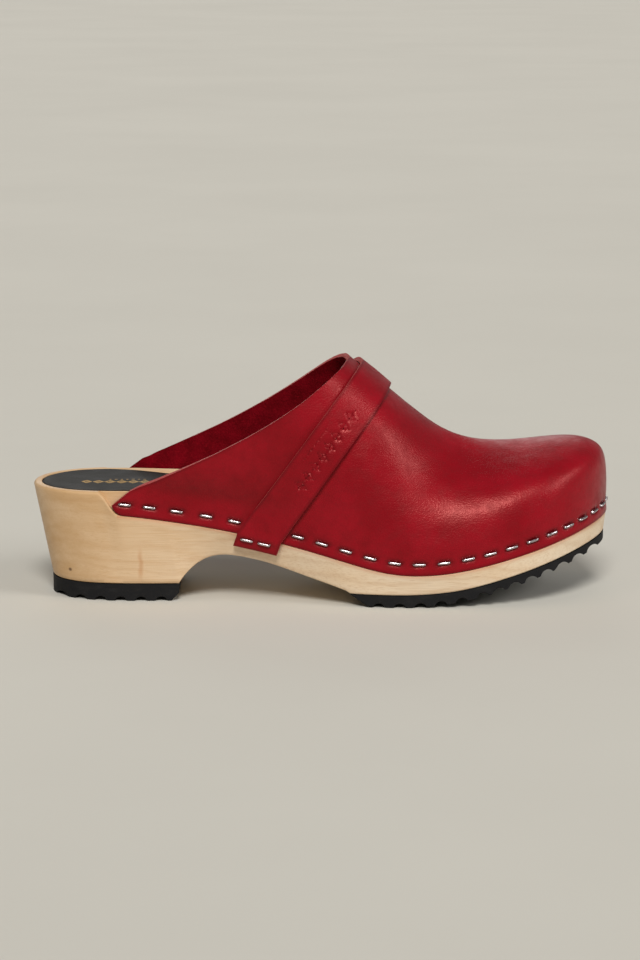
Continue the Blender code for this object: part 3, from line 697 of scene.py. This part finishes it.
def edge_line():
    """Close points along every free edge of the upper: the topline and the lower edge."""
    line = []
    for side in (OUTER, INNER):
        for x in spread(LEATHER_BACK, SOLE_LENGTH, 260):
            points = rib_line(x, side, 2, 1)
            line.append(points[0])
            if x < THROAT:
                line.append(points[-1])
        line += list(rib_line(THROAT, side, 8, 40)[8:])
        line += list(rib_line(LEATHER_BACK, side, 12, 1))
    return np.array(line)


def leather_upper(places):
    """The upper: lasted leather, pressed in by its staples and a little uneven between them."""
    wall, top = 64, 26
    shape = bmesh.new()
    front = spread(THROAT, SOLE_LENGTH, 150)
    rows = [rib_line(x, OUTER, wall, top) for x in front]
    rows += [rib_line(x, INNER, wall, top) for x in front[::-1]]
    add_grid(shape, rows)
    even = np.linspace(0, 1, 56)
    near_throat = LEATHER_BACK + (THROAT - LEATHER_BACK) * (1 - (1 - even) ** 1.6)
    for side in (OUTER, INNER):
        quarter = [rib_line(x, side, wall, top) for x in near_throat[:-1]]
        add_grid(shape, [*quarter, rib_line(THROAT, side, wall, top)[: wall + 1]])
    obj = make_piece("clog_upper", shape, LEATHER_FACES)
    points, normals = points_of(obj.data)
    dent_and_shade = dents(points, places)
    hem = distance_to(points, edge_line())
    low = np.exp(-(((points[:, 2] - LEDGE_HEIGHT(points[:, 0])) / 3.5) ** 2))
    at_toe = points[:, 0] > 186
    uneven = 0.22 * waves(points, 21, 1) + 0.10 * waves(points, 7.5, 2)
    uneven *= np.clip(hem / 8, 0, 1)
    lift = 0.35 * low - 0.75 * dent_and_shade + np.where(at_toe, np.abs(uneven), uneven)
    set_points(obj.data, points + normals * lift[:, None])
    # The dents' depth also paints shade into them in the leather's colour.
    set_values(obj.data, "dent_and_shade", dent_and_shade)
    set_values(obj.data, "hem", hem)
    thicken(obj, LEATHER, outward=False, bevel=0.5, inside=1, rim=2)
    show(obj, "red_leather", "leather_upper")


def strap_row(x, wall, top, tail):
    """One line across the strap, from its end on the outer side of the wood to its inner end."""
    halves = []
    for side in (OUTER, INNER):
        line = rib_line(x, side, wall, top)
        ledge, bottom = LEDGE.at(LEDGE.angle(x), side), BOTTOM.at(BOTTOM.angle(x), side)
        drop = STRAP_TAIL / (LEDGE_HEIGHT(x) - bottom_height(x))
        end = np.array([x - STRAP_LEAN, *(ledge + (bottom - ledge) * drop)[1:], LEDGE_HEIGHT(x) - STRAP_TAIL])
        halves.append([*(end + (line[0] - end) * t for t in np.linspace(0, 1, tail + 1)[:-1]), *line])
    return halves[0] + halves[1][::-1][1:]


def ornament(run, across):
    """A stamped border, from 0 to 1: a row of hollow lozenges beside a shorter row of dots."""
    pitch, count = 5.3, 8
    spot = (run + pitch / 2) % pitch - pitch / 2
    inside = (run > -pitch / 2) & (run < (count - 0.5) * pitch)
    lozenge = np.abs(spot) / 2.5 + np.abs(across) / 3.5
    outline = np.clip(2.2 - np.abs(lozenge - 0.8) / 0.14, 0, 1)
    middle = np.clip(2.0 - np.hypot(spot, across) / 0.5, 0, 1)
    small = (run + 1.3) % 2.6 - 1.3
    dots = np.clip(2.0 - np.hypot(small, across - 5.8) / 0.45, 0, 1)
    dots *= (run > 9) & (run < 27)
    return np.clip(np.maximum(outline, middle) * inside + dots, 0, 1)


def instep_strap(places):
    """The strap over the instep, with a stamped ornament on its outer side."""
    shape = bmesh.new()
    stations = np.linspace(STRAP_BACK, STRAP_FRONT, 56)
    rows = [strap_row(x, 190, 60, 12) for x in stations]
    add_grid(shape, rows)
    obj = make_piece("clog_instep_strap", shape, LEATHER_FACES)
    points, normals = points_of(obj.data)
    grid = np.array(rows)
    outline = np.concatenate([grid[0], grid[-1], grid[:, 0], grid[:, -1]])
    hem = distance_to(points, outline)
    dent_and_shade = dents(points + normals * LEATHER, places)
    middle = np.array(rows[len(rows) // 2])
    lengths = np.concatenate([[0], np.cumsum(np.linalg.norm(np.diff(middle, axis=0), axis=1))])
    nearest = np.array([np.argmin(((middle - point) ** 2).sum(axis=1)) for point in points])
    along = middle[np.clip(nearest + 1, 0, len(middle) - 1)] - middle[np.clip(nearest - 1, 0, None)]
    along /= np.linalg.norm(along, axis=1)[:, None]
    off = points - middle[nearest]
    run = lengths[nearest] + (off * along).sum(axis=1)
    sideways = np.cross(normals, along)
    across = (off * sideways).sum(axis=1)
    stamped = ornament(run - STRAP_STAMP[0], across - STRAP_STAMP[1]) * (points[:, 1] < 0)
    uneven = 0.22 * waves(points, 21, 1) * np.clip(hem / 8, 0, 1)
    lift = GAP + 0.1 + uneven - 0.55 * dent_and_shade - 0.75 * stamped
    set_points(obj.data, points + normals * lift[:, None])
    # The dents and the stamped ornament also get painted shade in the leather's colour.
    set_values(obj.data, "dent_and_shade", np.maximum(dent_and_shade, 0.6 * stamped))
    set_values(obj.data, "hem", hem)
    thicken(obj, LEATHER, outward=True, bevel=0.6, inside=1, rim=2)
    show(obj, "red_leather", "instep_strap")


def heel_pad():
    """The heel pad: thin leather over a soft filling, lying in the dish of the heel seat."""
    shape = bmesh.new()
    rows = []
    for angle in np.linspace(0, np.pi, 170):
        near, far = PAD.at(angle, OUTER), PAD.at(angle, INNER)
        row = []
        for t in dense_ends(120):
            x, y = near + (far - near) * t
            half = (LEDGE.y(x, INNER) - LEDGE.y(x, OUTER)) / 2 - REBATE_DEPTH - RIM_CHAMFER
            middle = (LEDGE.y(x, INNER) + LEDGE.y(x, OUTER)) / 2
            row.append((x, y, footbed_height(x, np.clip((y - middle) / half, -1, 1)) + 1.5 * GAP))
        rows.append(row)
    add_grid(shape, rows)
    obj = make_piece("clog_heel_pad", shape, [PAD_LEATHER])
    points, normals = points_of(obj.data)
    edge = distance_to(points, np.array([row[0] for row in rows] + [row[-1] for row in rows]))
    crown = 0.35 * np.clip(edge / 7, 0, 1) ** 0.7 + 0.07 * waves(points, 9, 5)
    set_points(obj.data, points + normals * crown[:, None])
    stamped = ornament(points[:, 0] - PAD_STAMP[0], points[:, 1] - PAD_STAMP[1])
    set_values(obj.data, "mark", stamped)
    thicken(obj, PAD_THICKNESS, outward=True, bevel=0.55)
    show(obj, "pad_leather", "heel_pad")


# The sole.
def wooden_sole():
    """The carved block: rounded rim, rebate for the leather, dished footbed, arch and heel."""
    marks = [LEDGE.angle(x) for x in np.linspace(NOTCH - 1.5, NOTCH_FRONT + 1, 22)]
    marks += [BOTTOM.angle(x) for x in (HEEL_FRONT, *np.linspace(67.2, 90, 20), BALL_BACK)]
    even = np.linspace(0, np.pi, 190)
    angles = sorted([*(a for a in even if min(abs(a - m) for m in marks) > 0.004), *marks])

    def notch_top(x):
        """The side's top edge, which sweeps down round the notch in one curve."""
        fall = np.clip((x - NOTCH) / (NOTCH_FRONT - NOTCH), 0, 1)
        eased = fall**2 * (3 - 2 * fall)
        straight = side_top(x)
        curve = rim_height(NOTCH) + (float(LEDGE_HEIGHT(NOTCH_FRONT)) - rim_height(NOTCH)) * eased
        return 0.5 * (straight + curve) if NOTCH < x < NOTCH_FRONT else straight

    def rounding(x):
        """The radius of the block's upper edge, less on the ledge that the leather covers."""
        return float(np.interp(x, (NOTCH, NOTCH_FRONT), (1.3, 0.35)))

    def ring(outline, inset, height):
        row = []
        for side, order in ((OUTER, angles), (INNER, angles[::-1])):
            for angle in order:
                station = outline.at(angle, side)[0]
                depth = inset(station) if callable(inset) else inset
                row.append((*outline.at(angle, side, depth), height(station)))
        return row

    def arc(turn):
        return ring(
            LEDGE,
            lambda x: rounding(x) * (1 - np.cos(turn)),
            lambda x: notch_top(x) - rounding(x) * (1 - np.sin(turn)),
        )

    chamfer = 0.45
    foot = np.array(ring(BOTTOM, 0, lambda x: bottom_height(x) + chamfer))
    head = np.array(arc(0))
    wall = [foot + (head - foot) * t for t in np.linspace(0, 1, 22)]
    rim_edge = REBATE_DEPTH + RIM_CHAMFER
    rings = [ring(BOTTOM, chamfer, bottom_height), *wall]
    rings += [arc(turn) for turn in np.linspace(0, np.pi / 2, 6)[1:]]
    rings += [
        ring(LEDGE, REBATE_DEPTH - 0.4, notch_top),
        ring(LEDGE, REBATE_DEPTH, notch_top),
        ring(LEDGE, REBATE_DEPTH, lambda x: rim_height(x) - (0.3 if x > NOTCH + 1 else 0)),
        ring(LEDGE, REBATE_DEPTH + 0.3, rim_height),
        ring(LEDGE, REBATE_DEPTH + 0.6, lambda x: rim_height(x) - 0.15),
        ring(LEDGE, rim_edge - 0.15, lambda x: footbed_height(x, 1) + 0.5),
        ring(LEDGE, rim_edge, lambda x: footbed_height(x, 1)),
    ]
    shape = bmesh.new()
    add_grid(shape, rings)
    footbed, underside = [], []
    for angle in angles:
        near, far = (LEDGE.at(angle, side, rim_edge) for side in (OUTER, INNER))
        station = LEDGE.at(angle, OUTER)[0]
        fractions = np.linspace(0, 1, 25)
        footbed.append([(*(near + (far - near) * t), footbed_height(station, 2 * t - 1)) for t in fractions])
        edges = [BOTTOM.at(angle, side, chamfer) for side in (OUTER, INNER)]
        height = bottom_height(BOTTOM.at(angle, OUTER)[0])
        underside.append([(*(edges[0] + (edges[1] - edges[0]) * t), height) for t in np.linspace(0, 1, 9)])
    add_grid(shape, footbed)
    add_grid(shape, underside)
    obj = make_piece("clog_wooden_sole", shape, [WOOD], sharp=38)
    points, _ = points_of(obj.data)
    below = points[:, 2] - LEDGE_HEIGHT(points[:, 0])
    beside = (points[:, 0] > LEATHER_BACK + 2) & (below < 0.5)
    set_values(obj.data, "seam", np.where(beside, below, -30))
    show(obj, "wood", "wooden_sole")


def tread(name, node, first, last, low, high, grooves):
    """A rubber tread: flat ribs between round grooves, under the sole's outline."""
    radius = GROOVE_RADIUS
    half = np.sqrt(radius**2 - (radius - GROOVE_DEPTH) ** 2)
    even = np.linspace(BOTTOM.angle(first), BOTTOM.angle(last), 90)
    stations = [*(BOTTOM.back + BOTTOM.length * (1 - np.cos(even)) / 2)]
    for middle in grooves:
        round_part = middle + half * np.cos(np.linspace(0, np.pi, 17))
        stations = [x for x in stations if abs(x - middle) > half] + [*round_part]
    stations = sorted(x for x in stations if first <= x <= last)

    def floor(x):
        deep = low(x)
        for middle in grooves:
            if abs(x - middle) < half:
                top = low(middle) + GROOVE_DEPTH - radius + np.sqrt(radius**2 - (x - middle) ** 2)
                deep = max(deep, top)
        return deep

    def section(x, inset, height):
        y_outer, y_inner = BOTTOM.y(x, OUTER), BOTTOM.y(x, INNER)
        inset = min(inset, (y_inner - y_outer) / 2)
        return [(x, y_outer + inset, height), (x, y_inner - inset, height)]

    sections = []
    edge = 0.35
    for x in stations:
        bottom, top = floor(x), high(x)
        lip = min(edge, (top - bottom) / 2)
        profile = [section(x, lip, bottom), section(x, 0, bottom + lip), section(x, 0, top)]
        loop = [profile[0][0], profile[0][1], profile[1][1], profile[2][1], profile[2][0], profile[1][0]]
        sections.append(loop + loop[:1])
    shape = bmesh.new()
    add_grid(shape, sections)
    bmesh.ops.remove_doubles(shape, verts=shape.verts, dist=0.01 * MM)
    bmesh.ops.holes_fill(shape, edges=shape.edges, sides=6)
    obj = make_piece(name, shape, [RUBBER], sharp=35)
    show(obj, "black_rubber", node)


def treads():
    """The heel's tread, chamfered at the breast, and the forefoot's, skived to an edge behind the ball."""
    skived = BALL_BACK + BALL_SKIVE
    thickness = [(BALL_BACK, GAP), (skived, BALL_RUBBER), (170, BALL_RUBBER), (TREAD_TIP, TOE_RUBBER)]

    def heel_low(x):
        return max(0.0, x - (HEEL_FRONT - HEEL_CHAMFER))

    def forefoot_low(x):
        return max(bottom_height(x) - float(np.interp(x, *zip(*thickness))), 0.0)

    tread("clog_heel_tread", "heel_rubber", TREAD_BACK, HEEL_FRONT, heel_low,
          lambda x: HEEL_RUBBER - GAP, HEEL_GROOVES)  # fmt: skip
    tread("clog_forefoot_tread", "forefoot_rubber", BALL_BACK, TREAD_TIP, forefoot_low,
          lambda x: bottom_height(x) - GAP, FOREFOOT_GROOVES)  # fmt: skip


# The pieces together.
wooden_sole()
treads()
PLACES = staple_places()
leather_upper([place for node, place in PLACES.items() if node.startswith("vamp")])
instep_strap([place for node, place in PLACES.items() if node.startswith("strap")])
heel_pad()
for node, place in PLACES.items():
    show(staple("wire_" + node, place), "staple_wire", node)
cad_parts["toe_stiffener"].data.materials.clear()
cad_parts["toe_stiffener"].data.materials.append(BOARD)


# The studio.
def in_row(point):
    """The point, given in shoe millimetres, in the row's frame and in metres."""
    return Vector((np.array(point) + SHOE_ORIGIN) * MM)


def studio():
    """A wide pale floor under a dim sky, lit by three suns."""
    shape = bmesh.new()
    bmesh.ops.create_grid(shape, x_segments=1, y_segments=1, size=30)
    mesh = bpy.data.meshes.new("studio_floor")
    shape.to_mesh(mesh)
    shape.free()
    mesh.materials.append(ground_face())
    floor = bpy.data.objects.new("studio_floor", mesh)
    bpy.context.scene.collection.objects.link(floor)

    world = bpy.data.worlds.new("studio")
    world.use_nodes = True
    background = world.node_tree.nodes["Background"]
    tree = world.node_tree
    direction = tree.nodes.new("ShaderNodeTexCoord")
    apart = tree.nodes.new("ShaderNodeSeparateXYZ")
    height = tree.nodes.new("ShaderNodeMapRange")
    height.inputs["From Max"].default_value = 0.5
    height.inputs["To Min"].default_value = 0.24
    height.inputs["To Max"].default_value = 0.16
    tree.links.new(direction.outputs["Generated"], apart.inputs[0])
    tree.links.new(apart.outputs["Z"], height.inputs["Value"])
    tree.links.new(height.outputs[0], background.inputs["Strength"])
    background.inputs["Color"].default_value = (1.0, 0.98, 0.94, 1)
    bpy.context.scene.world = world
    bpy.context.scene.view_settings.view_transform = "Standard"

    for name, direction, power, size, color in (
        ("key", (0.0, 0.66, -0.68), 2.4, 20, (1.0, 0.97, 0.93)),
        ("window", (-0.80, 0.36, -0.52), 0.95, 20, (1.0, 0.98, 0.96)),
        ("rim", (0.1, -0.85, -0.38), 0.35, 30, (1.0, 0.98, 0.95)),
    ):
        lamp = bpy.data.lights.new(name, "SUN")
        lamp.energy = power
        lamp.angle = np.radians(size)
        lamp.color = color
        light = bpy.data.objects.new(name, lamp)
        light.rotation_euler = Vector(direction).to_track_quat("-Z", "Y").to_euler()
        bpy.context.scene.collection.objects.link(light)


def camera():
    """A long lens nearly level with the shoe, square to its outer side."""
    elevation, distance = np.radians(10.8), 1.4
    lens = bpy.data.cameras.new("camera")
    lens.lens = 115.3
    view = bpy.data.objects.new("camera", lens)
    target = in_row((130.0, 0.0, 50.2))
    view.location = target + distance * Vector((0, -np.cos(elevation), np.sin(elevation)))
    view.rotation_euler = (target - view.location).to_track_quat("-Z", "Y").to_euler()
    bpy.context.scene.collection.objects.link(view)
    bpy.context.scene.camera = view


studio()
camera()
